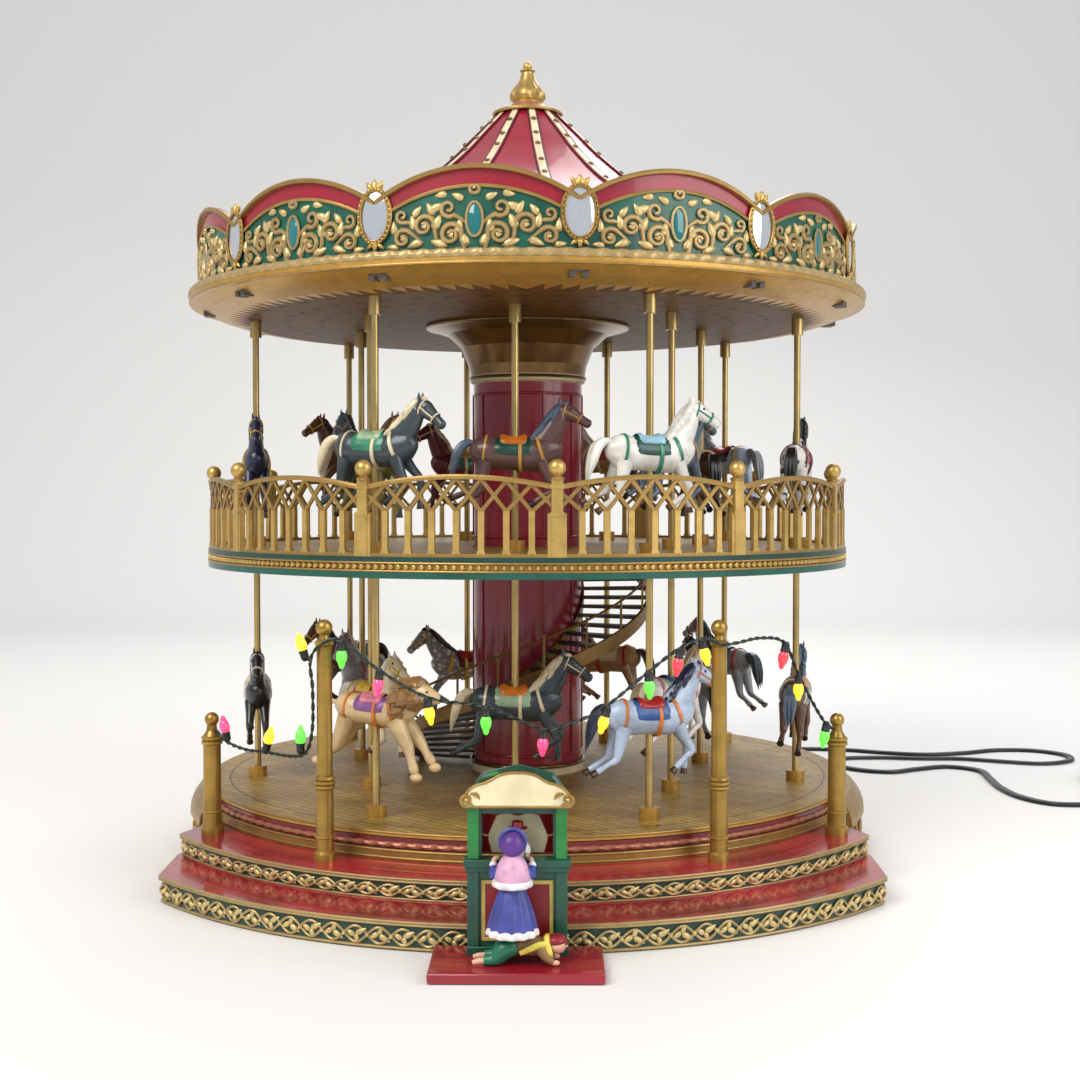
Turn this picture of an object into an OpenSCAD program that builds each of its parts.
// Double-decker carousel music box, driven by a small mains adaptor.
// The origin is on the table at the carousel's axis. The front is -Y and up is +Z.
// Angles round the axis are counted from the front, positive towards +X.

/* [Decks and canopy] */
// Radius of both decks
deck_r = 156.8; // [153:0.2:157.4]
// Height of the lower deck's floor above the table
lower_floor_z = 31.5; // [31.5:0.1:33]
// Clear height between the lower deck and the upper one
lower_storey_h = 103; // [100:0.5:108]
// Thickness of the upper deck with its decorated edge
upper_deck_t = 8.9; // [8:0.1:11]
// Clear height between the upper deck and the ceiling
upper_storey_h = 109.2; // [106:0.2:116]
// How far the canopy's flange stands out past the base's wall
flange_reach = 6.5; // [4:0.5:9]

/* [Poles and animals] */
// Poles in each ring
riders = 7; // [7:1:7]
// Distance from the deck's edge to the outer ring of poles
outer_ring_inset = 23; // [22.4:0.2:25.8]
// Radius of the inner ring of poles
inner_ring_r = 89.7; // [88.5:0.1:92]
// Angle of the outer ring's first pole
outer_first_angle = 23.5; // [10:0.5:40]
// Angle of the inner ring's first pole
inner_first_angle = -2.6; // [-15:0.1:15]
// Diameter of a pole
pole_d = 3.1; // [2.6:0.1:3.6]
// How far a pole rises and falls in all
stroke = 11; // [6:0.5:11]
// Length of an animal's body from chest to rump
animal_len = 36; // [32:1:38]
// Height of the lower animals' backs above the lower floor
lower_back_h = 47; // [45:0.5:52]
// Height of the upper animals' backs above the upper floor
upper_back_h = 46; // [44:0.5:52]

/* [Base] */
// Thickness of the base plate
plate_t = 3; // [2.4:0.2:4]
// Thickness of the housing's wall
wall_t = 2.5; // [2:0.1:3]
// How far the rear part of the housing stands out past its round wall
rear_reach = 7.5; // [6.5:0.5:10.5]
// Screws that hold the plate to the housing
base_screw_count = 8; // [4:1:12]

/* [Front steps] */
// Distance from the base's wall to the lower step's nosing
lower_step_reach = 52.8; // [46:0.2:53]
// Distance from the base's wall to the upper step's nosing
upper_step_reach = 25.8; // [24:0.2:28]
// Height of the lower tread
lower_tread_z = 11.5; // [9:0.1:13]
// Height of the upper tread
upper_tread_z = 20.3; // [18:0.1:24]
// Half of the steps' width
steps_half_w = 151; // [146:1:154]

/* [Lamp posts] */
// Height of a tall post above the upper tread
tall_post_h = 97.9; // [85:0.1:105]
// Height of a short post above the upper tread
short_post_h = 53.2; // [53:0.1:60]
// Distance from the base's wall to the posts' axes
post_reach = 11.5; // [10.5:0.5:12.5]

/* [Column and stair] */
// Radius of the central column
column_r = 27; // [24:0.5:28]
// Number of treads in the spiral stair
stair_treads = 24; // [18:1:26]
// Outer radius of the spiral stair
stair_r = 61.5; // [54:0.5:64]

/* [Railing] */
// Height of the rail at a post above the upper floor
rail_post_h = 28.9; // [24:0.1:32]
// How much higher the rail is between two posts
rail_arch_h = 4.5; // [2:0.1:6]
// Width of a baluster
baluster_w = 2.5; // [1.6:0.1:3]

/* [Crown and roof] */
// Panels round the crown, with as many mirrors, railing bays and ribs
bays = 12; // [12:1:12]
// Height of the crown's panels above the flange
crown_h = 37; // [32:0.5:40]
// Height of the crown at the joint between two panels
crown_spring_h = 24.4; // [22:0.2:26]
// Width of a mirror with its frame
mirror_w = 15.5; // [13:0.5:18]
// Height of a mirror with its frame
mirror_h = 23; // [20:0.5:24]
// Height of the roof above the flange
roof_h = 95; // [88:0.5:100]

/* [Ticket booth] */
// Width of the cabinet
booth_w = 35.5; // [34:0.5:40]
// Height of the cabinet to the foot of its roof
booth_wall_h = 57.6; // [56:0.2:60]
// Width of the plinth
plinth_w = 61.6; // [58:0.2:70]

/* [Drive] */
// Size of one gear tooth, the pitch diameter divided by the tooth count
gear_module = 1.5; // [1.5:0.1:1.5]
// Teeth on the gear under the lower deck
gear_teeth = 84; // [84:12:84]
// Teeth on the motor's pinion
pinion_teeth = 12; // [12:1:12]

/* [Supply lead] */
// Width of the flat twin lead
lead_w = 4.4; // [3.8:0.1:5]
// Thickness of the flat twin lead
lead_t = 2.2; // [1.8:0.1:2.6]
// Diameter of the put-away coil, at the middle of its turns
coil_mid_d = 50; // [46:1:54]

/* [Hidden] */
$fn = 72;
run_gap = 0.08;
side_gap = 0.3;

// Heights, from the table up
deck_plate_t = 2.1;
lower_under_z = lower_floor_z - deck_plate_t;
housing_top_z = lower_under_z - 0.4;
upper_under_z = lower_floor_z + lower_storey_h;
upper_floor_z = upper_under_z + upper_deck_t;
ceiling_z = upper_floor_z + upper_storey_h;
ceiling_t = 2.2;
flange_t = 2.5;
flange_z = ceiling_z + 6.9;
crown_z = flange_z + flange_t;
roof_top_z = crown_z + roof_h;

// Base
rim_r = deck_r + 1.7;
rear_r = rim_r + rear_reach;
plate_r = rim_r - wall_t - 0.4;
ledge_h = 3;
rear_half_angle = 116;
screw_ring_r = rim_r - 10.5;
screw_r = 1.5;
screw_head_r = 3;
screw_head_h = 1.6;
pillar_r = 4;
pillar_screw_depth = 10;
spindle_r = 5;
spindle_foot_r = 14;
spindle_foot_h = 3;
spindle_boss_r = 9;
spindle_boss_z = 18.6;
spindle_top_z = lower_under_z + 0.4;
spindle_washer_r = 8.5;

// Lift cam: two rings with three waves, each wave one turn of the pole's rise and fall
cam_waves = 3;
cam_ring_w = 7;
cam_crest_z = 14.8;
cam_foot_h = 1.4;

// Gears
gear_r = gear_module * gear_teeth / 2;
pinion_r = gear_module * pinion_teeth / 2;
gear_axis_gap = gear_r + pinion_r;
gear_h = 5;
gear_z = spindle_boss_z + 0.5;
pinion_h = 6;
pinion_z = gear_z - 0.5;
motor_shaft_r = 1.5;
motor_top_z = pinion_z - 0.6;

// Rear controls, in the wall of the wider rear part
switch_z = 12;
switch_travel = 3.6;
switch_nub_w = 5;
switch_nub_h = 3.6;
knob_angle = 166;
knob_z = 11.5;
knob_r = 4.2;
lead_angle = 150;
lead_z = 9;

// Poles
pole_r = pole_d / 2;
outer_ring_r = deck_r - outer_ring_inset;
guide_r = 5;
guide_h = 5.4;
cup_r = 4.35;
cup_h = 5;
ceiling_cup_r = 2.8;
ceiling_cup_h = 7.9;
cup_seat_gap = 0.05;
pole_foot_z = cam_crest_z + 0.5 + stroke / 2;
pole_top_z = ceiling_z + ceiling_t + 6;
pitch_angle = 360 / riders;
bay_angle = 360 / bays;
// How high each pole stands above the middle of its stroke
outer_rest = [0, 2, -2, 3, -3, 1.5, -1.5];
inner_rest = [1, -2.5, 2.5, -1, 3, -3, 2];

// Stair
stair_from = -117;
stair_turn = 240;
stair_step_angle = stair_turn / stair_treads;
stair_rise = lower_storey_h / (stair_treads + 1);
tread_t = 1.6;

// Railing
rail_r = deck_r - 1.6;
rail_first_angle = 5.3;
rail_post_w = 4.6;
rail_foot_w = 7.6;
rail_divisions = 8;
rail_t = 1.8;

// Crown
flange_r = rim_r + flange_reach;
crown_r = flange_r - 7;
crown_t = 2;
panel_first_angle = 23.4;
mirror_first_angle = panel_first_angle - bay_angle / 2;
mirror_r = crown_r + crown_t / 2;
mirror_z = crown_z + 18.3;
mirror_t = 2.2;

// Posts and the garland: a wire from the left short post to the right one, and its lights
post_ring_r = rim_r + post_reach;
tall_angle = 28;
short_angle = 53.5;
wire_r = 0.8;
// Route of the garland's wire, point by point from the left
wire_route = [
    [-134.9, -102.7, 66.5], [-129, -108.5, 62], [-119, -118, 60], [-107, -129, 60.5],
    [-95, -141, 61], [-87.5, -149.5, 64], [-84.6, -151, 74], [-84.4, -151.2, 90],
    [-85, -152.6, 102], [-80, -154.85, 108.7], [-72, -156, 110], [-57, -156.5, 98.5],
    [-37, -158, 87.5], [-14, -159, 84], [8.7, -160, 75.5], [21, -159.5, 78],
    [33.5, -158.5, 84], [51, -157, 98], [63, -156.5, 107], [73, -155.6, 111],
    [80, -154.85, 108.7], [86.5, -152, 109], [98, -141, 110], [109, -131, 107],
    [116, -124, 93], [124, -116.5, 79], [130, -109.5, 70.5], [134.9, -102.7, 66.5]
];
// Places of the lights on the route, and 1 where the light points up or -1 where it hangs
light_at = [1, 3, 5, 8, 10, 11, 12, 13, 14, 16, 17, 18, 19, 23, 24, 26];
light_way = [1, 1, 1, 1, -1, -1, -1, -1, -1, -1, -1, -1, -1, -1, -1, -1];
light_side = [0, 0, -2.2, -3, 0, 0, 0, 0, 0, 0, 0, 0, 0, 0, 0, 0];
light_colour = [
    "hotpink", "gold", "green", "gold", "green", "hotpink", "gold", "green",
    "hotpink", "gold", "green", "red", "gold", "red", "gold", "green"
];
socket_r = 1.7;
socket_h = 4.4;
bulb_r = 2.3;
bulb_h = 7.5;

// Booth
booth_front_y = -(rim_r + lower_step_reach) - 11.2;
booth_back_y = -(rim_r + lower_step_reach) - 0.05;
plinth_front_y = booth_front_y - 22.2;
plinth_h = 4;
counter_z = 34.2;
counter_h = 4.4;
booth_roof_h = 12.6;

// Supply lead: the hand-chosen route of its middle line over the table
relief_len = 18;
relief_end = rear_r + relief_len;
lead_out = [sin(lead_angle), -cos(lead_angle)];
lead_low = lead_t / 2 + 0.05;
lead_over = lead_low + lead_t + 0.6;
lead_route = [
    [relief_end * lead_out.x, relief_end * lead_out.y, lead_z],
    [(relief_end + 9) * lead_out.x, (relief_end + 9) * lead_out.y, lead_z - 1],
    [(relief_end + 22) * lead_out.x, (relief_end + 22) * lead_out.y, 4.5],
    [113, 197, lead_low + 0.3], [126, 214, lead_low], [148, 229, lead_low],
    [176, 236, lead_low], [205, 232, lead_low], [230, 221, lead_low],
    [254, 215, lead_low], [280, 221, lead_low], [304, 232, lead_low],
    [328, 230, lead_low], [343, 213, lead_low], [338, 192, lead_low],
    [318, 182, lead_low], [296, 189, lead_low], [272, 199, lead_low],
    [246, 200, lead_low], [220, 203, lead_low], [197, 199, lead_low],
    [188, 180, lead_low], [198, 161, lead_low], [217, 153, lead_low],
    [236, 163, lead_low], [256, 171, lead_low], [272, 158, lead_low],
    [271, 132, lead_low], [269, 105, lead_low], [272, 78, lead_low],
    [284, 59, lead_low], [305, 58, lead_low], [320, 70, lead_low],
    [326.5, 90, lead_low], [329, 112, lead_low + 0.6], [333.5, 132, lead_low + 1.2]
];
coil_at = [358.5, 122];
coil_w = 17;
coil_h = 7;
plug_at = [383.5, 73];

// ---------------------------------------------------------------- helpers

// Puts a child at radius r and angle a, with its own +X along the direction of travel.
module polar(r, a, z = 0) {
    rotate([0, 0, a]) translate([0, -r, z]) children();
}

// Turns a profile of [radius, height] points through an angle centred at a.
module sector(points, a, angle) {
    rotate([0, 0, a - 90 - angle / 2]) rotate_extrude(angle = angle) polygon(points);
}

// A block of the ring between two radii and two heights, centred at angle a.
module arc_block(r1, r2, z1, z2, a, angle) {
    sector([[r1, z1], [r2, z1], [r2, z2], [r1, z2]], a, angle);
}

// A cylinder that points outward from the axis at angle a and height z.
module radial(r, a, z, from, to) {
    polar(from, a, z) rotate([90, 0, 0]) cylinder(r = r, h = to - from);
}

// A tube of revolution from a list of [radius, height] points.
module turned(points) {
    rotate_extrude() polygon(points);
}

function mix(a, b, t) = a + (b - a) * t;
function unit(v) = v / norm(v);

// A point on the smooth curve through p, between p[i] and p[i + 1].
function curve_point(p, i, t) =
    let (n = len(p) - 1)
    let (a = p[max(i - 1, 0)], b = p[i], c = p[i + 1], d = p[min(i + 2, n)])
    0.5 * (2 * b + (c - a) * t + (2 * a - 5 * b + 4 * c - d) * t * t
        + (3 * b - a - 3 * c + d) * t * t * t);

function curve(p, per) = concat(
    [for (i = [0:len(p) - 2], k = [0:per - 1]) curve_point(p, i, k / per)],
    [p[len(p) - 1]]
);

// An eight-sided tube of half sizes [w, h] along a list of points.
module tube(path, half) {
    n = len(path) - 1;
    sides = 8;
    rings = [
        for (i = [0:n])
            let (way = unit(path[min(i + 1, n)] - path[max(i - 1, 0)]))
            let (side = unit(cross(way, [0, 0, 1]) + [0, 1e-6, 0]), up = cross(side, way))
            for (k = [0:sides - 1])
                let (a = 360 * (k + 0.5) / sides)
                path[i] + side * half[0] * cos(a) / cos(22.5) + up * half[1] * sin(a) / cos(22.5)
    ];
    walls = [
        for (i = [0:n - 1], k = [0:sides - 1])
            [i * sides + k, i * sides + (k + 1) % sides,
             (i + 1) * sides + (k + 1) % sides, (i + 1) * sides + k]
    ];
    first = [for (k = [0:sides - 1]) sides - 1 - k];
    last = [for (k = [0:sides - 1]) n * sides + k];
    polyhedron(points = rings, faces = concat(walls, [first], [last]));
}

// ---------------------------------------------------------------- base

module base_plate() color("dimgray") difference() {
    cylinder(r = plate_r, h = plate_t);
    for (i = [0:base_screw_count - 1]) polar(screw_ring_r, screw_angle(i), -1) {
        cylinder(r = screw_r + 0.2, h = plate_t + 2);
        cylinder(r = screw_head_r + 0.3, h = 1 + screw_head_h);
    }
}

function screw_angle(i) = 360 * (i + 0.5) / base_screw_count;

// The steel pin that the whole carousel turns on.
module spindle() color("silver") {
    translate([0, 0, plate_t]) cylinder(r = spindle_foot_r, h = spindle_foot_h);
    translate([0, 0, plate_t]) cylinder(r = spindle_boss_r, h = spindle_boss_z - plate_t);
    translate([0, 0, plate_t]) cylinder(r = spindle_r, h = spindle_top_z - plate_t);
    translate([0, 0, spindle_top_z]) cylinder(r = spindle_washer_r, h = 1);
    translate([0, 0, spindle_top_z + 1]) cylinder(r = 3.2, h = 2.4);
}

module base_housing() color("darkkhaki") difference() {
    union() {
        turned([
            [rim_r - wall_t, 1], [rim_r, 1], [rim_r, 24.6], [rim_r - 1.5, 24.6],
            [rim_r - 1.5, housing_top_z], [rim_r - 14.5, housing_top_z],
            [rim_r - 14.5, housing_top_z - 2], [rim_r - wall_t - 0.8, housing_top_z - 2],
            [rim_r - wall_t - 0.8, plate_t + ledge_h], [rim_r - 7.5, plate_t + ledge_h],
            [rim_r - 7.5, plate_t], [rim_r - wall_t, plate_t]
        ]);
        rear_shoulder();
        for (i = [0:base_screw_count - 1]) polar(screw_ring_r, screw_angle(i), plate_t)
            cylinder(r = pillar_r, h = housing_top_z - plate_t - 1);
    }
    rear_hollow();
    for (i = [0:base_screw_count - 1]) polar(screw_ring_r, screw_angle(i), plate_t - 1)
        cylinder(r = screw_r + 0.05, h = pillar_screw_depth + 2);
    polar(rear_r - 8, 180, switch_z)
        cube([switch_nub_w + switch_travel + 0.8, 20, switch_nub_h + 0.6], center = true);
    radial(1.6 + run_gap, knob_angle, knob_z, rear_r - 9, rear_r + 1);
    radial(3.05, lead_angle, lead_z, rear_r - 14, rear_r + 1);
}

// The wider part behind the short lamp posts, with its rounded shoulder.
module rear_shoulder() {
    sector([
        [rim_r - 1, 1.3], [rear_r - 2.2, 1.3], [rear_r - 2.2, 15.5], [rear_r, 17.5],
        [rear_r - 0.3, 20.5], [rear_r - 1.6, 24], [rear_r - 3.8, 27],
        [rear_r - 6.3, housing_top_z - 0.4], [rim_r - 3, housing_top_z - 0.4], [rim_r - 3, 24]
    ], 180, 2 * rear_half_angle);
}

module rear_hollow() {
    inner_r = rear_r - 2.2 - wall_t;
    sector([
        [rim_r - wall_t - 2, plate_t + ledge_h + 1], [inner_r, plate_t + ledge_h + 1],
        [inner_r, 18], [inner_r - 1.2, 22.5], [rim_r - 1, housing_top_z - 3],
        [rim_r - wall_t - 2, housing_top_z - 3]
    ], 180, 2 * rear_half_angle - 3);
}

module base_screws() color("gainsboro")
    for (i = [0:base_screw_count - 1]) polar(screw_ring_r, screw_angle(i), 0.3) {
        cylinder(r = screw_head_r, h = screw_head_h - 0.3);
        cylinder(r = screw_r, h = plate_t + pillar_screw_depth - 1);
    }

// Two waved tracks. The poles' feet follow them as the carousel turns.
module lift_cam() color("whitesmoke") {
    cam_track(inner_ring_r, inner_first_angle);
    cam_track(outer_ring_r, outer_first_angle);
}

module cam_track(ring_r, first) {
    half_wave = ring_r * sin(180 / cam_waves) * 0.9;
    valley_r = (half_wave * half_wave + stroke * stroke) / (2 * stroke);
    difference() {
        translate([0, 0, plate_t]) arc_ring(ring_r, cam_ring_w, cam_crest_z - plate_t);
        for (i = [0:cam_waves - 1])
            radial(valley_r, first + 360 * (i + 0.5) / cam_waves,
                cam_crest_z - stroke + valley_r, ring_r * 0.5 - cam_ring_w, ring_r + cam_ring_w,
                $fn = 240);
    }
}

module arc_ring(r, w, h) {
    turned([[r - w / 2, 0], [r + w / 2, 0], [r + w / 2, h], [r - w / 2, h]]);
}

// A flat gearbox with its motor, at the back inside the inner cam track.
module gearmotor() color("slategray") polar(gear_axis_gap, 180) {
    translate([-17, -9, plate_t]) cube([34, 20, motor_top_z - plate_t]);
    translate([0, 0, plate_t]) cylinder(r = motor_shaft_r, h = pinion_z + pinion_h - 1 - plate_t);
    translate([-40, 4, plate_t + 7]) rotate([0, 90, 0]) cylinder(r = 7, h = 24);
}

// The speaker, the melody board and the board behind the rear controls.
module sound_module() color("darkgreen") {
    polar(46, 0, plate_t) cylinder(r = 22, h = 3);
    polar(46, 0, plate_t) cylinder(r = 13, h = 11);
    polar(50, -78, plate_t + 2) cube([44, 30, 1.6], center = true);
    polar(50, -78, plate_t) translate([-5, -5, 0]) cube([10, 10, 5]);
    polar(rear_r - 11.5, 173, 13) cube([46, 1.6, 12], center = true);
    radial(knob_r, knob_angle, knob_z, rear_r - 11.5, rear_r - 7);
}

module front_steps() color("maroon") difference() {
    union() {
        step_slab(lower_step_reach - 1, 1, 0.7, lower_tread_z - 2);
        step_slab(lower_step_reach, 0, lower_tread_z - 2, lower_tread_z);
        step_slab(upper_step_reach - 1, 1, lower_tread_z - 3, upper_tread_z - 2);
        step_slab(upper_step_reach, 0, upper_tread_z - 2, upper_tread_z);
    }
    cylinder(r = rim_r + side_gap, h = upper_tread_z + 1);
}

// One layer of the steps: a wide arc in front, cut off by the slanted ends.
module step_slab(reach, inset, z1, z2) {
    front = rim_r + reach;
    arc_r = reach > 40 ? 193.9 - inset : 180 - inset;
    intersection() {
        translate([0, arc_r - front, z1]) cylinder(r = arc_r, h = z2 - z1);
        translate([0, 0, z1]) linear_extrude(z2 - z1) steps_outline(inset);
    }
}

module steps_outline(inset) {
    w = steps_half_w - inset;
    polygon([
        [0, -60], [w - 11, -74], [w, -103.5], [w - 1.5, -143.5], [w - 1.5, -230],
        [1.5 - w, -230], [1.5 - w, -143.5], [-w, -103.5], [11 - w, -74]
    ]);
}

module lamp_posts() color("goldenrod") for (side = [-1, 1]) {
    polar(post_ring_r, side * tall_angle, upper_tread_z) tall_post();
    polar(post_ring_r, side * short_angle, upper_tread_z) short_post();
}

module tall_post() {
    h = tall_post_h;
    turned([
        [0, 0], [4.4, 0], [4.4, 3.2], [3.6, 4], [3.7, 9.2], [4.3, 9.6], [4.3, 10.4], [3.6, 10.8],
        [3.5, 29], [4.3, 29.6], [4.3, 30.6], [3.7, 31], [4.3, 31.4], [4.3, 32.4], [3.7, 32.8],
        [4.3, 33.2], [4.1, 34.2], [3.2, 35], [3.1, h - 11], [3.9, h - 10], [3.9, h - 9],
        [2.2, h - 8], [1.8, h - 6], [0, h - 6]
    ]);
    translate([0, 0, h - 3.4]) sphere(r = 3.4);
}

module short_post() {
    h = short_post_h;
    turned([
        [0, 0], [4.9, 0], [4.9, 3.4], [4, 4.2], [3.9, 9.2], [4.6, 9.6], [4.6, 10.4], [3.9, 10.8],
        [3.8, 39], [4.6, 39.5], [4.6, 40.5], [4, 41], [4.6, 41.5], [4.6, 42.5], [3.8, 43],
        [2.4, h - 8], [2, h - 5], [0, h - 5]
    ]);
    translate([0, 0, h - 3.1]) sphere(r = 3.1);
}

module light_wire() color("darkslategray") tube(curve(wire_route, 2), [wire_r, wire_r]);

function light_place(i) = wire_route[light_at[i]] + [light_side[i], 0, 0];

module light_sockets() color("black") for (i = [0:len(light_at) - 1])
    translate(light_place(i) - [0, 0, light_way[i] > 0 ? 0.6 : socket_h - 0.6])
        cylinder(r = socket_r, h = socket_h);

module light_bulbs() for (i = [0:len(light_at) - 1])
    color(light_colour[i]) translate(light_place(i) + [0, 0, light_way[i] * (socket_h - 0.6)])
        rotate([light_way[i] > 0 ? 0 : 180, 0, 0]) turned([
            [0, 0], [1.5, 0], [bulb_r, 2.2], [bulb_r - 0.2, 4.4], [1.2, 6.4], [0, bulb_h]
        ]);

module ticket_booth() color("ivory") {
    translate([-plinth_w / 2, plinth_front_y, 0.2])
        cube([plinth_w, booth_back_y - plinth_front_y, plinth_h - 0.2]);
    difference() {
        translate([-booth_w / 2, booth_front_y, plinth_h])
            cube([booth_w, booth_back_y - booth_front_y, booth_wall_h - plinth_h]);
        translate([-booth_w / 2 + 5, booth_front_y - 1, counter_z + counter_h])
            cube([booth_w - 10, booth_back_y - booth_front_y - 1,
                booth_wall_h - counter_z - counter_h - 3]);
    }
    translate([-booth_w / 2 - 1.5, booth_front_y - 3, counter_z])
        cube([booth_w + 3, 8, counter_h]);
    for (side = [-1, 1]) translate([side * (booth_w / 2 - 2) - 2, booth_front_y - 1.6, plinth_h])
        cube([4, 4, booth_wall_h - plinth_h]);
    booth_roof();
    booth_sign();
}

module booth_roof() {
    translate([0, booth_back_y, booth_wall_h]) rotate([90, 0, 0])
        linear_extrude(booth_back_y - booth_front_y + 1) polygon([
            [-booth_w / 2 - 1.5, 0], [booth_w / 2 + 1.5, 0],
            [booth_w / 2 - 5, booth_roof_h - 3], [0, booth_roof_h], [5 - booth_w / 2, booth_roof_h - 3]
        ]);
}

// The arched sign board over the window. It carries no words.
module booth_sign() {
    half_w = booth_w / 2 + 2.75;
    rise = 7;
    arch_r = (half_w * half_w + rise * rise) / (2 * rise);
    intersection() {
        translate([-half_w, booth_front_y - 3.4, booth_wall_h - 0.4])
            cube([2 * half_w, 2, booth_roof_h + 0.4]);
        translate([0, booth_front_y, booth_wall_h + booth_roof_h - arch_r])
            rotate([90, 0, 0]) cylinder(r = arch_r, h = 5);
    }
}

// A customer who stands on a crouching child to reach the window, and the seller inside.
module booth_figures() {
    color("mediumslateblue") customer();
    color("saddlebrown") crouching_child();
    color("bisque") translate([0, booth_front_y + 4, counter_z + counter_h]) {
        cylinder(r1 = 3.4, r2 = 2.4, h = 7);
        translate([0, 0, 10]) sphere(r = 3.4);
    }
}

module customer() translate([-1.5, plinth_front_y + 12.5, plinth_h + 10]) {
    turned([
        [0, 0], [9.5, 0], [9.3, 2], [8, 7], [6, 13], [4.2, 17.5], [5.2, 20], [5.4, 24],
        [2.6, 27], [2, 28.5], [0, 28.5]
    ]);
    translate([0, 0, 32]) sphere(r = 4.6);
    for (side = [-1, 1]) translate([side * 5.6, 0.6, 17]) rotate([-38, side * 8, 0])
        cylinder(r = 1.6, h = 7.2);
}

module crouching_child() translate([0, plinth_front_y + 12.5, plinth_h]) {
    intersection() {
        translate([-13, -5.5, 0]) cube([24, 11, 10]);
        translate([-1, 0, -2]) rotate([0, 90, 0]) cylinder(r = 12, h = 40, center = true);
    }
    for (x = [-12, 8]) for (y = [-3.6, 3.6]) translate([x, y, 0]) cylinder(r = 2, h = 7);
    translate([14.5, 0, 7.5]) sphere(r = 4.2);
}

// ---------------------------------------------------------------- supply lead

module cord_grommet() color("black") polar(0, lead_angle, lead_z) rotate([90, 0, 0]) {
    translate([0, 0, rear_r - 7.4]) cylinder(r = 4.2, h = 2.6);
    translate([0, 0, rear_r - 5.5]) cylinder(r = 3, h = 5);
    translate([0, 0, rear_r - 1.7]) cylinder(r = 4.4, h = 2);
    translate([0, 0, rear_r]) cylinder(r1 = 4, r2 = 2.7, h = relief_len);
}

module supply_cord() color("black") tube(curve(lead_route, 2), [lead_w / 2, lead_t / 2]);

module cord_coil() color("black") translate([coil_at.x, coil_at.y, 0.05]) turned([
    [(coil_mid_d - coil_w) / 2, 1], [(coil_mid_d - coil_w) / 2 + 1, 0],
    [(coil_mid_d + coil_w) / 2 - 1, 0], [(coil_mid_d + coil_w) / 2, 1],
    [(coil_mid_d + coil_w) / 2, coil_h - 1], [(coil_mid_d + coil_w) / 2 - 1, coil_h],
    [(coil_mid_d - coil_w) / 2 + 1, coil_h], [(coil_mid_d - coil_w) / 2, coil_h - 1]
]);

// A small wall adaptor with two flat blades. Its strain relief reaches into the coil.
module power_plug() color("black") translate([plug_at.x, plug_at.y, 0.1]) {
    translate([-13, -17, 0]) cube([26, 34, 30]);
    translate([0, 15, 6]) rotate([-90, 0, 0]) cylinder(r1 = 2.8, r2 = 2.2, h = 12);
    for (side = [-1, 1]) translate([side * 6.35 - 0.75, -34, 11.5]) cube([1.5, 18, 6.4]);
}

// ---------------------------------------------------------------- turning parts

// A gear blank with straight-sided teeth, cut a little slim so that they never bind.
module gear_outline(teeth) {
    pitch_r = gear_module * teeth / 2;
    tip = pitch_r + 0.8 * gear_module;
    root = pitch_r - 1.1 * gear_module;
    step = 360 / teeth;
    polygon([
        for (i = [0:teeth - 1]) each [
            gear_point(root, (i - 0.34) * step), gear_point(pitch_r, (i - 0.215) * step),
            gear_point(tip, (i - 0.11) * step), gear_point(tip, (i + 0.11) * step),
            gear_point(pitch_r, (i + 0.215) * step), gear_point(root, (i + 0.34) * step)
        ]
    ]);
}

function gear_point(r, a) = [r * cos(a), r * sin(a)];

module turntable_gear() color("white") difference() {
    union() {
        translate([0, 0, gear_z]) rotate([0, 0, 90 + 180 / gear_teeth])
            linear_extrude(gear_h) gear_outline(gear_teeth);
        translate([0, 0, gear_z]) cylinder(r = 40, h = lower_under_z - gear_z);
    }
    translate([0, 0, gear_z - 1]) cylinder(r = spindle_r + run_gap, h = lower_under_z);
    translate([0, 0, gear_z + gear_h]) arc_ring(24, 22, lower_under_z);
}

module motor_pinion() color("white") polar(gear_axis_gap, 180, pinion_z) difference() {
    rotate([0, 0, 90]) linear_extrude(pinion_h) gear_outline(pinion_teeth);
    translate([0, 0, -1]) cylinder(r = motor_shaft_r + run_gap, h = pinion_h + 2);
}

module pole_places() {
    for (i = [0:riders - 1]) {
        polar(outer_ring_r, outer_first_angle - i * pitch_angle) children();
        polar(inner_ring_r, inner_first_angle - i * pitch_angle) children();
    }
}

module lower_deck() color("firebrick") difference() {
    union() {
        translate([0, 0, lower_under_z]) cylinder(r = deck_r, h = deck_plate_t);
        pole_places() translate([0, 0, lower_under_z - guide_h])
            cylinder(r = guide_r, h = guide_h + 1);
        pole_places() translate([0, 0, lower_floor_z - 1]) cylinder(r = cup_r, h = cup_h + 1);
    }
    pole_places() translate([0, 0, lower_under_z - guide_h - 1])
        cylinder(r = pole_r + run_gap, h = guide_h + cup_h + 6);
    translate([0, 0, lower_under_z - 1]) cylinder(r = spindle_washer_r + 1.5, h = 6);
}

module column() color("firebrick") {
    ledge_z = upper_floor_z - 4;
    r = column_r;
    turned([
        [r - 2, lower_floor_z], [r + 0.9, lower_floor_z], [r + 0.9, lower_floor_z + 3.4],
        [r, lower_floor_z + 4], [r, ledge_z - 4], [r + 5, ledge_z], [r, ledge_z],
        [r, ceiling_z - 29], [r + 1.6, ceiling_z - 28], [r + 1.6, ceiling_z - 25],
        [r + 2.4, ceiling_z - 20], [r + 6, ceiling_z - 11], [r + 13, ceiling_z - 4.5],
        [r + 21, ceiling_z - 2], [r + 23, ceiling_z - 1.6], [r + 23, ceiling_z],
        [r - 2, ceiling_z]
    ]);
}

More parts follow.
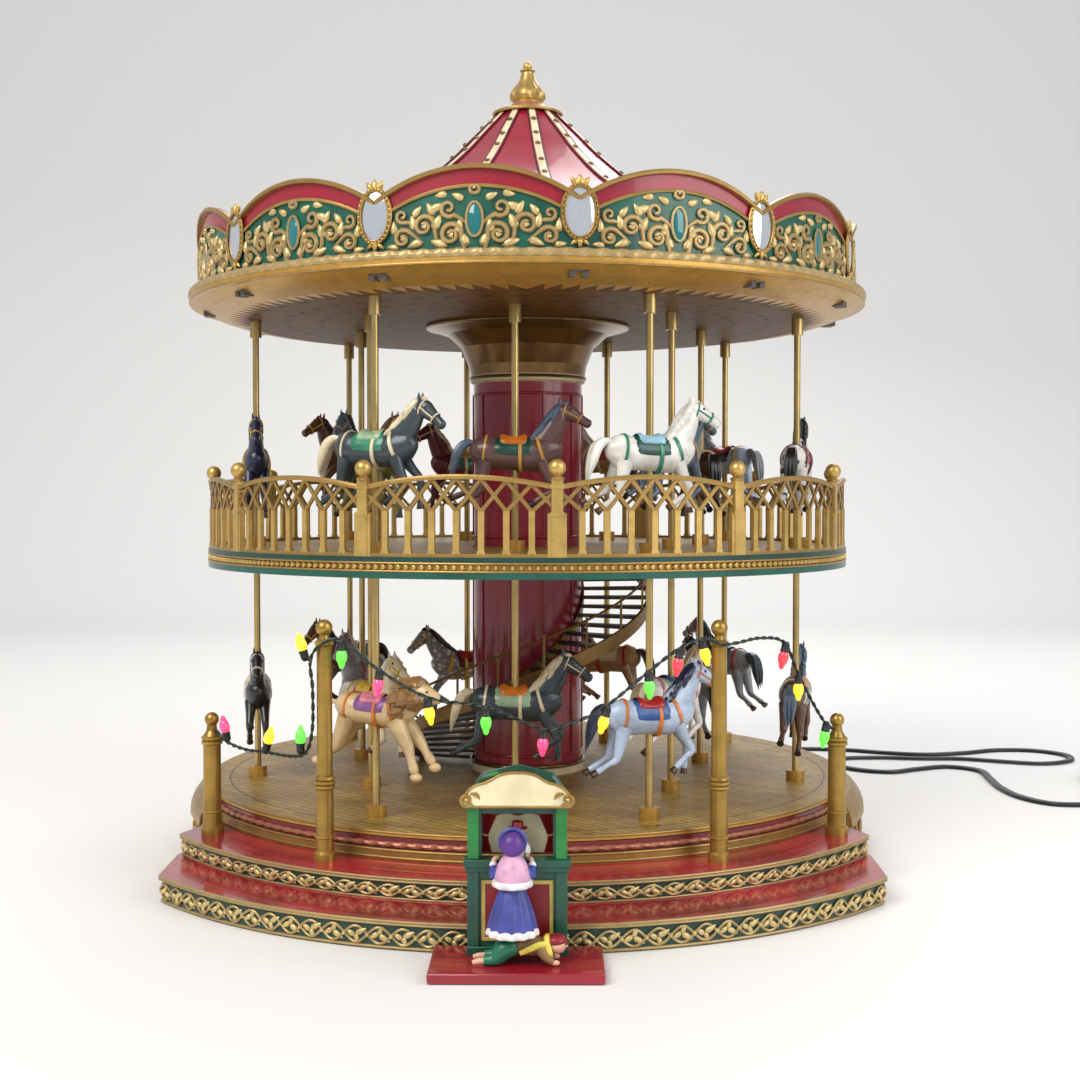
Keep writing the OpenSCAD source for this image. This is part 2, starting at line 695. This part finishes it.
module spiral_stair() color("goldenrod") {
    for (i = [0:stair_treads - 1]) {
        a = stair_from + (i + 0.5) * stair_step_angle;
        z = lower_floor_z + (i + 1) * stair_rise;
        arc_block(column_r + 1, stair_r - 0.9, z - tread_t, z, a, stair_step_angle - 0.3);
        slim = i % 2 * 0.2;
        foot_z = max(z - 6.5, lower_floor_z);
        arc_block(stair_r - 1.6 + slim, stair_r - slim, foot_z, z + 1.5, a, stair_step_angle + 0.8);
    }
    for (i = [0:2:stair_treads - 1]) {
        polar(stair_r - 0.8, stair_post_angle(i), stair_post_z(i))
            cylinder(r = 0.6, h = stair_rail_point(i).z - stair_post_z(i));
        translate(stair_rail_point(i)) sphere(r = 1.2);
        if (i + 2 < stair_treads) stair_rail(i);
    }
}

function stair_post_angle(i) = stair_from + (i + 0.5) * stair_step_angle;
function stair_post_z(i) = lower_floor_z + (i + 1) * stair_rise - tread_t;
function stair_rail_point(i) =
    let (a = stair_post_angle(i), r = stair_r - 0.8)
    [r * sin(a), -r * cos(a), min(stair_post_z(i) + 20.3, upper_floor_z - 5.8)];

// A straight length of handrail from one rail post to the next.
module stair_rail(i) {
    from = stair_rail_point(i);
    way = stair_rail_point(i + 2) - from;
    translate(from) rotate([0, acos(way.z / norm(way)), atan2(way.y, way.x)])
        cylinder(r = 0.8, h = norm(way));
}

module upper_deck() color("darkgreen") difference() {
    union() {
        turned([
            [column_r + 0.2, upper_floor_z - 4], [deck_r - 7, upper_floor_z - 4],
            [deck_r - 7, upper_under_z], [deck_r, upper_under_z], [deck_r, upper_under_z + 2.8],
            [deck_r - 1.2, upper_under_z + 2.8], [deck_r - 1.2, upper_floor_z - 2.3],
            [deck_r, upper_floor_z - 2.3], [deck_r, upper_floor_z],
            [column_r + 0.2, upper_floor_z]
        ]);
        pole_places() translate([0, 0, upper_floor_z - 1]) cylinder(r = cup_r, h = cup_h + 1);
    }
    pole_places() translate([0, 0, upper_under_z])
        cylinder(r = pole_r + run_gap, h = upper_deck_t + cup_h + 2);
}

module railing() color("gold") {
    arc_block(rail_r - rail_t / 2, rail_r + rail_t / 2, upper_floor_z, upper_floor_z + 1.4, 0, 360);
    for (i = [0:bays - 1]) {
        rail_post(rail_first_angle + i * bay_angle);
        rail_bay(rail_first_angle + (i + 0.5) * bay_angle);
    }
}

module rail_post(a) {
    upright = rail_post_h + 4;
    polar(rail_r, a, upper_floor_z) {
        translate([-rail_post_w / 2, -1.4, 0]) cube([rail_post_w, 2.8, upright]);
        translate([-rail_foot_w / 2, -1.2, 0]) cube([rail_foot_w, 2.4, 17.6]);
        translate([0, 0, upright + 3]) sphere(r = 3.7);
    }
}

// The arched rail of one bay, with its balusters.
module rail_bay(a) {
    arch_r = arch_radius(rail_r, rail_arch_h);
    top_z = upper_floor_z + rail_post_h + rail_arch_h;
    intersection() {
        arc_block(rail_r - rail_t / 2, rail_r + rail_t / 2,
            upper_floor_z + rail_post_h - 4, top_z + 1, a, bay_angle);
        difference() {
            radial(arch_r, a, top_z - arch_r, rail_r - 6, rail_r + 4);
            radial(arch_r - 2, a, top_z - arch_r, rail_r - 7, rail_r + 5);
        }
    }
    for (k = [1:rail_divisions - 1])
        arc_block(rail_r - 0.6, rail_r + 0.6, upper_floor_z + 1,
            upper_floor_z + rail_post_h - 0.6, a + (k / rail_divisions - 0.5) * bay_angle,
            2 * asin(baluster_w / 2 / rail_r));
}

// Radius of the round arch that rises by `rise` over one bay at radius r.
function arch_radius(r, rise) =
    let (half = r * sin(bay_angle / 2))
    (half * half + rise * rise) / (2 * rise);

module canopy_tray() color("peru") {
    difference() {
        turned([
            [column_r - 1, ceiling_z], [flange_r - 27, ceiling_z], [flange_r - 18, ceiling_z + 1],
            [flange_r - 10, ceiling_z + 3.4],
            [flange_r - 3, flange_z], [flange_r, flange_z], [flange_r, crown_z],
            [flange_r - 5.5, crown_z], [flange_r - 11, ceiling_z + 5.6],
            [flange_r - 19, ceiling_z + 3.2], [flange_r - 28, ceiling_z + ceiling_t],
            [column_r - 1, ceiling_z + ceiling_t]
        ]);
        pole_places() translate([0, 0, ceiling_z - 1]) cylinder(r = pole_r + run_gap, h = ceiling_t + 6);
    }
    pole_places() translate([0, 0, ceiling_z - ceiling_cup_h - cup_seat_gap]) difference() {
        cylinder(r = ceiling_cup_r, h = ceiling_cup_h);
        translate([0, 0, -1]) cylinder(r = pole_r + run_gap, h = ceiling_cup_h + 2);
    }
}

module crown_boards() color("crimson") {
    rise = crown_h - crown_spring_h;
    arch_r = arch_radius(crown_r, rise);
    for (i = [0:bays - 1]) {
        a = panel_first_angle + i * bay_angle;
        arc_block(crown_r - crown_t / 2 - 0.3, crown_r + crown_t / 2 + 0.5,
            crown_z, crown_z + 4, a, bay_angle - 0.5);
        intersection() {
            arc_block(crown_r - crown_t / 2, crown_r + crown_t / 2,
                crown_z + 3, crown_z + crown_h + 1, a, bay_angle - 0.5);
            radial(arch_r, a, crown_z + crown_h - arch_r, crown_r - 9, crown_r + 5);
        }
    }
}

module mirrors() color("gold") for (i = [0:bays - 1])
    polar(mirror_r + mirror_t + 0.1, mirror_first_angle + i * bay_angle, mirror_z)
        rotate([90, 0, 0]) translate([0, 0, -mirror_t]) linear_extrude(mirror_t) mirror_outline();

// An upright oval with a small crest on top and a scroll foot.
module mirror_outline() {
    points = 28;
    polygon([
        for (k = [0:points - 1])
            let (a = 360 * k / points)
            let (crest = abs(a - 90) < 16 ? 4 : 0, foot = abs(a - 270) < 16 ? 1.6 : 0)
            [mirror_w / 2 * cos(a), (mirror_h / 2 + crest + foot) * sin(a)]
    ]);
}

// The tent's outer surface, from the wall behind the crown up to the cap.
roof_profile = [
    [156.4, 4], [148, 14.5], [118, 25], [88, 38], [60, 54], [40, 70], [27, 83], [15, 95]
];

function roof_r(i) = roof_profile[i][0] * (crown_r - 1.6) / roof_profile[0][0];
function roof_z(i) = crown_z + roof_profile[i][1] * roof_h / 95;

module roof() color("crimson") {
    last = len(roof_profile) - 1;
    skin = 2;
    turned(concat(
        [[roof_r(0), crown_z]],
        [for (i = [0:last]) [roof_r(i), roof_z(i)]],
        [for (i = [last:-1:0]) [roof_r(i) - skin, roof_z(i) - skin]],
        [[roof_r(0) - skin, crown_z]]
    ));
}

module finial() color("gold") translate([0, 0, roof_top_z]) {
    turned([
        [0, -3], [12.4, -3], [12.4, 0], [17.5, 0], [17.5, 1.8], [15, 2.8], [8.5, 4.2], [6, 5.6],
        [7.4, 7.4], [8.2, 10], [7.2, 13.6], [4.4, 16.4], [2.4, 17.6], [2.6, 18.6], [4.4, 19.4],
        [4.4, 20.4], [2.2, 21.2], [0, 21.2]
    ]);
    translate([0, 0, 24]) sphere(r = 3.2);
}

// ---------------------------------------------------------------- controls

module power_switch() color("black") polar(rear_r, 180, switch_z) {
    translate([-switch_nub_w / 2, -0.5, -switch_nub_h / 2]) cube([switch_nub_w, 6.3, switch_nub_h]);
    translate([-7, 5.3, -3.4]) cube([14, 1.6, 6.8]);
}

module volume_knob() color("black") {
    radial(1.6, knob_angle, knob_z, rear_r - 6.6, rear_r - 1);
    radial(knob_r, knob_angle, knob_z, rear_r - 1.6, rear_r + 3.6);
}

// ---------------------------------------------------------------- poles and animals

module pole() color("goldenrod") {
    translate([0, 0, pole_foot_z]) cylinder(r = pole_r, h = pole_top_z - pole_foot_z);
}

function outer_angle(i) = outer_first_angle - (i - 1) * pitch_angle;
function inner_angle(i) = inner_first_angle - (i - 1) * pitch_angle;

module outer_pole(i) polar(outer_ring_r, outer_angle(i), outer_rest[i - 1]) pole();
module inner_pole(i) polar(inner_ring_r, inner_angle(i), inner_rest[i - 1]) pole();

// One ring of a limb or body: s = [x, z, half width, half height, lean of the ring, y].
function ring_point(s, k, n) =
    let (a = 360 * (k + 0.5) / n)
    [s[0] - s[3] * sin(a) * sin(s[4]), s[5] + s[2] * cos(a), s[1] + s[3] * sin(a) * cos(s[4])];

// Skin over a row of rings with n corners each.
module loft(rings, n) for (i = [0:len(rings) - 2]) hull()
    polyhedron(
        points = [for (j = [0, 1], k = [0:n - 1]) ring_point(rings[i + j], k, n)],
        faces = [[for (k = [0:n - 1]) k], [for (k = [0:n - 1]) n + k]]
    );

// Knee and hoof places for a leg that starts at [x, y]: `swing` reaches forward, `fold` bends.
module leg(x, y, swing, fold) {
    knee = [x + 9 * sin(swing), -8 - 9 * cos(swing)];
    hoof = knee + 12 * [sin(swing - fold), -cos(swing - fold)];
    loft([
        [x, -4, 2.8, 3.6, -90 + swing, y], [knee[0], knee[1], 1.6, 1.8, -90 + swing, y],
        [hoof[0], hoof[1], 1.6, 1.8, -90 + swing - fold, y]
    ], 4);
}

// A leaping horse. Its own origin is on the pole at the middle of the body.
module horse(leap, head) {
    half = animal_len / 2;
    loft([
        [-half - 1, 1, 2.8, 4, 0, 0], [-half + 5, 0.4, 6.4, 7.4, 0, 0],
        [half - 6, 0, 6.2, 7.6, 0, 0], [half, 2, 3.6, 5.6, 20, 0]
    ], 6);
    loft([
        [half - 6, 3, 3.8, 6.4, 50, 0], [half + 1, 10, 2.9, 4.8, 55, 0],
        [half + 5, 17, 2.5, 4.2, 20 + head, 0], [half + 16, 12.5 - head / 9, 1.7, 2.2, -35 + head, 0]
    ], 5);
    loft([[-half, 3, 1.6, 2, 20, 0], [-half - 6, 1, 2.4, 2.8, 60, 0], [-half - 10, -9, 1, 1.4, 70, 0]], 4);
    loft([[-5, 5.6, 5, 2.4, 0, 0], [6, 5.6, 5, 2.4, 0, 0]], 4);
    leg(half - 6, 3.8, 62 - leap, 60);
    leg(half - 6, -3.8, 40 + leap, 95);
    leg(-half + 5, 3.8, -34 + leap, 30);
    leg(-half + 5, -3.8, -22 - leap, 36);
}

// A leaping lion, with a round mane and a thin tail.
module lion() {
    half = animal_len / 2;
    loft([
        [-half - 1, 0, 2.8, 3.6, 0, 0], [-half + 5, 0, 5.8, 6.2, 0, 0],
        [half - 5, 0, 5.8, 6.8, 0, 0], [half + 1, 3, 4.2, 5.4, 20, 0]
    ], 6);
    loft([
        [half - 3, 3, 5.6, 7, 30, 0], [half + 2, 6, 7, 8.6, 30, 0], [half + 8, 8, 6, 7.4, 20, 0],
        [half + 14, 7, 2.8, 3.2, 10, 0]
    ], 6);
    loft([[-half, 2, 1.4, 1.6, 30, 0], [-half - 7, 0, 0.9, 0.9, 60, 0], [-half - 11, -8, 1.8, 2, 80, 0]], 4);
    loft([[-5, 4.8, 4.6, 2.2, 0, 0], [6, 4.8, 4.6, 2.2, 0, 0]], 4);
    leg(half - 5, 3.6, 62, 26);
    leg(half - 5, -3.6, 48, 30);
    leg(-half + 5, 3.6, -44, 20);
    leg(-half + 5, -3.6, -32, 24);
}

// The bore for the pole, as an eight-sided prism round it.
module pole_bore() {
    cylinder(r = (pole_r + 0.03) / cos(22.5), h = 60, center = true, $fn = 8);
}

lower_body_z = lower_floor_z + lower_back_h - 4;
upper_body_z = upper_floor_z + upper_back_h - 4;

module outer_animals(i) polar(outer_ring_r, outer_angle(i), outer_rest[i - 1]) {
    color(outer_lower_colour[i - 1]) translate([0, 0, lower_body_z]) difference() {
        if (i == 2) lion(); else horse(6 * sin(100 * i), 12 * cos(77 * i));
        pole_bore();
    }
    color(outer_upper_colour[i - 1]) translate([0, 0, upper_body_z]) difference() {
        horse(8 * sin(140 * i + 40), 12 * cos(97 * i));
        pole_bore();
    }
}

module inner_animals(i) polar(inner_ring_r, inner_angle(i), inner_rest[i - 1]) {
    color(inner_lower_colour[i - 1]) translate([0, 0, lower_body_z]) difference() {
        horse(7 * sin(160 * i), 12 * cos(123 * i));
        pole_bore();
    }
    color(inner_upper_colour[i - 1]) translate([0, 0, upper_body_z]) difference() {
        horse(6 * sin(200 * i + 20), 12 * cos(61 * i));
        pole_bore();
    }
}

outer_lower_colour = [
    "lightsteelblue", "tan", "black", "saddlebrown", "silver", "lightgray", "sienna"
];
outer_upper_colour = [
    "ivory", "darkslategray", "midnightblue", "peru", "olive", "lightsteelblue", "white"
];
inner_lower_colour = [
    "darkslategray", "wheat", "silver", "maroon", "tan", "gray", "white"
];
inner_upper_colour = [
    "rosybrown", "darkolivegreen", "lightsteelblue", "maroon", "tan", "gray", "steelblue"
];

// ---------------------------------------------------------------- drawing

base_plate();
spindle();
base_housing();
base_screws();
lift_cam();
gearmotor();
sound_module();
front_steps();
lamp_posts();
light_wire();
light_sockets();
light_bulbs();
ticket_booth();
booth_figures();
cord_grommet();
supply_cord();
cord_coil();
power_plug();
turntable_gear();
lower_deck();
column();
spiral_stair();
upper_deck();
railing();
canopy_tray();
crown_boards();
mirrors();
roof();
finial();
motor_pinion();
power_switch();
volume_knob();
for (i = [1:riders]) {
    outer_pole(i);
    outer_animals(i);
    inner_pole(i);
    inner_animals(i);
}
